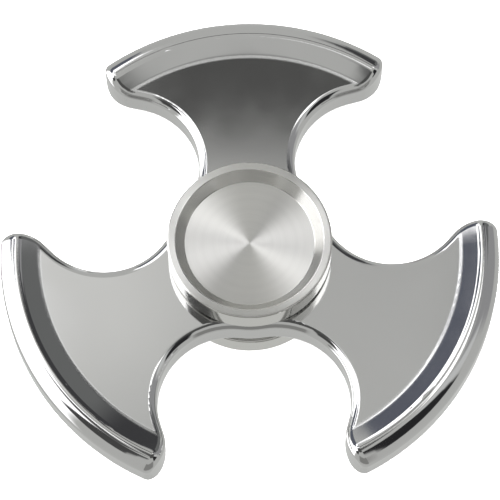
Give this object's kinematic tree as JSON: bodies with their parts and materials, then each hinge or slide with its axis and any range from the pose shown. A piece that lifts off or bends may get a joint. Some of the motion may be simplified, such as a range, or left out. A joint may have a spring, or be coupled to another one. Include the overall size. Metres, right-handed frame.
{
  "type": "fidget spinner",
  "caption": "Three-armed polished metal fidget spinner that turns freely on a ball bearing between two dished finger buttons.",
  "frame": {"origin": "centre of the ball bearing, on the spin axis at mid-thickness", "axes": "+Z along the spin axis out of the upper button, +Y along the middle of one arm"},
  "size_m": [0.06, 0.057, 0.013],
  "materials": {
    "body_steel": "mirror polished stainless steel",
    "button_steel": "polished wall, satin rim and fine turned dish",
    "bearing_steel": "ground bearing steel",
    "shield_steel": "pressed steel",
    "spring_steel": "drawn wire",
    "cage_steel": "pressed steel",
    "ball_steel": "lapped",
    "stud_steel": "black oxide"
  },
  "bodies": {
    "grip": {"top_button": "button_steel", "bottom_button": "button_steel", "bearing_inner_ring": "bearing_steel", "threaded_stud": "stud_steel"},
    "rotor": {"spinner_body": "body_steel", "bearing_outer_ring": "bearing_steel", "shield_top": "shield_steel", "shield_bottom": "shield_steel", "snap_wire_top": "spring_steel", "snap_wire_bottom": "spring_steel"},
    "cage": {"ball_cage": "cage_steel"},
    "ball_01_body": {"ball_01": "ball_steel"},
    "ball_02_body": {"ball_02": "ball_steel"},
    "ball_03_body": {"ball_03": "ball_steel"},
    "ball_04_body": {"ball_04": "ball_steel"},
    "ball_05_body": {"ball_05": "ball_steel"},
    "ball_06_body": {"ball_06": "ball_steel"},
    "ball_07_body": {"ball_07": "ball_steel"},
    "ball_08_body": {"ball_08": "ball_steel"},
    "ball_09_body": {"ball_09": "ball_steel"},
    "ball_10_body": {"ball_10": "ball_steel"}
  },
  "joints": [
    {"name": "body_spin", "type": "hinge", "parent": "grip", "child": "rotor", "pos_m": [0, 0, 0], "axis": [0, 0, 1], "continuous": true},
    {"name": "cage_spin", "type": "hinge", "parent": "grip", "child": "cage", "pos_m": [0, 0, 0], "axis": [0, 0, 1], "continuous": true},
    {"name": "ball_01_roll", "type": "hinge", "parent": "cage", "child": "ball_01_body", "pos_m": [0.00476, 0, 0], "axis": [0, 0, 1], "continuous": true},
    {"name": "ball_02_roll", "type": "hinge", "parent": "cage", "child": "ball_02_body", "pos_m": [0.00385, 0.0028, 0], "axis": [0, 0, 1], "continuous": true},
    {"name": "ball_03_roll", "type": "hinge", "parent": "cage", "child": "ball_03_body", "pos_m": [0.00147, 0.00453, 0], "axis": [0, 0, 1], "continuous": true},
    {"name": "ball_04_roll", "type": "hinge", "parent": "cage", "child": "ball_04_body", "pos_m": [-0.00147, 0.00453, 0], "axis": [0, 0, 1], "continuous": true},
    {"name": "ball_05_roll", "type": "hinge", "parent": "cage", "child": "ball_05_body", "pos_m": [-0.00385, 0.0028, 0], "axis": [0, 0, 1], "continuous": true},
    {"name": "ball_06_roll", "type": "hinge", "parent": "cage", "child": "ball_06_body", "pos_m": [-0.00476, 0, 0], "axis": [0, 0, 1], "continuous": true},
    {"name": "ball_07_roll", "type": "hinge", "parent": "cage", "child": "ball_07_body", "pos_m": [-0.00385, -0.0028, 0], "axis": [0, 0, 1], "continuous": true},
    {"name": "ball_08_roll", "type": "hinge", "parent": "cage", "child": "ball_08_body", "pos_m": [-0.00147, -0.00453, 0], "axis": [0, 0, 1], "continuous": true},
    {"name": "ball_09_roll", "type": "hinge", "parent": "cage", "child": "ball_09_body", "pos_m": [0.00147, -0.00453, 0], "axis": [0, 0, 1], "continuous": true},
    {"name": "ball_10_roll", "type": "hinge", "parent": "cage", "child": "ball_10_body", "pos_m": [0.00385, -0.0028, 0], "axis": [0, 0, 1], "continuous": true}
  ],
  "couplings": [
    {"joint": "cage_spin", "follows": "body_spin", "ratio": 0.58336},
    {"joint": "ball_01_roll", "follows": "body_spin", "ratio": 2.9157},
    {"joint": "ball_02_roll", "follows": "body_spin", "ratio": 2.9157},
    {"joint": "ball_03_roll", "follows": "body_spin", "ratio": 2.9157},
    {"joint": "ball_04_roll", "follows": "body_spin", "ratio": 2.9157},
    {"joint": "ball_05_roll", "follows": "body_spin", "ratio": 2.9157},
    {"joint": "ball_06_roll", "follows": "body_spin", "ratio": 2.9157},
    {"joint": "ball_07_roll", "follows": "body_spin", "ratio": 2.9157},
    {"joint": "ball_08_roll", "follows": "body_spin", "ratio": 2.9157},
    {"joint": "ball_09_roll", "follows": "body_spin", "ratio": 2.9157},
    {"joint": "ball_10_roll", "follows": "body_spin", "ratio": 2.9157}
  ]
}
